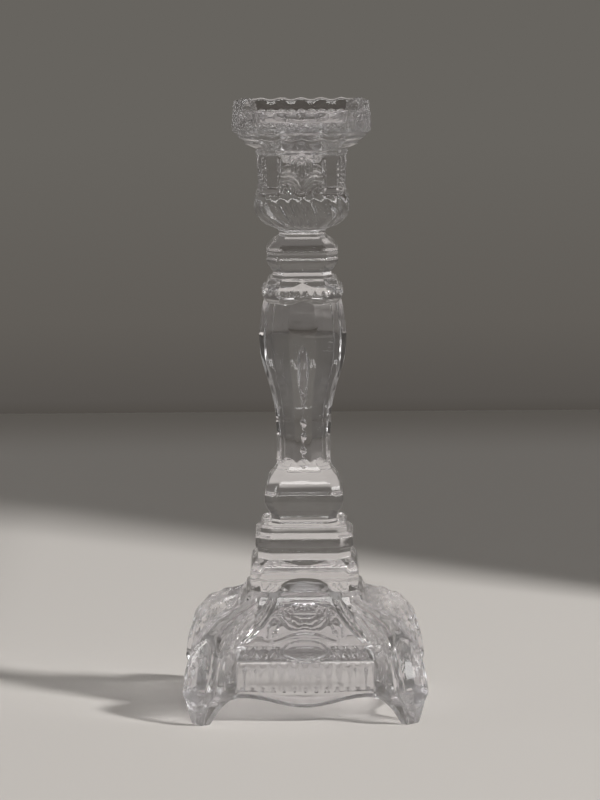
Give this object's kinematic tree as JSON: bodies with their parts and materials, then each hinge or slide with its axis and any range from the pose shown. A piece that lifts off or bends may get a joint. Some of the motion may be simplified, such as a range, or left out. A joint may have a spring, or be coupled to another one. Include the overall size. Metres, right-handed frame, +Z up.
{
  "type": "glass candlestick",
  "caption": "Clear pressed-glass candlestick: square drip pan over a round candle socket, octagonal baluster stem, and a flared square foot on scrolled corner legs.",
  "frame": {"origin": "on the resting plane, under the centre line of the stick", "axes": "+Z up along the centre line, out of the candle socket; X and Y square to the flat sides of the foot"},
  "size_m": [0.1014, 0.1014, 0.25],
  "materials": {
    "clear_glass": "clear colourless pressed glass, fire-polished"
  },
  "bodies": {
    "root": {"candle_cup": "clear_glass", "cup_wafer": "clear_glass", "upper_knop": "clear_glass", "stem_wafer": "clear_glass", "stem": "clear_glass", "foot_wafer": "clear_glass", "foot": "clear_glass"}
  },
  "joints": []
}
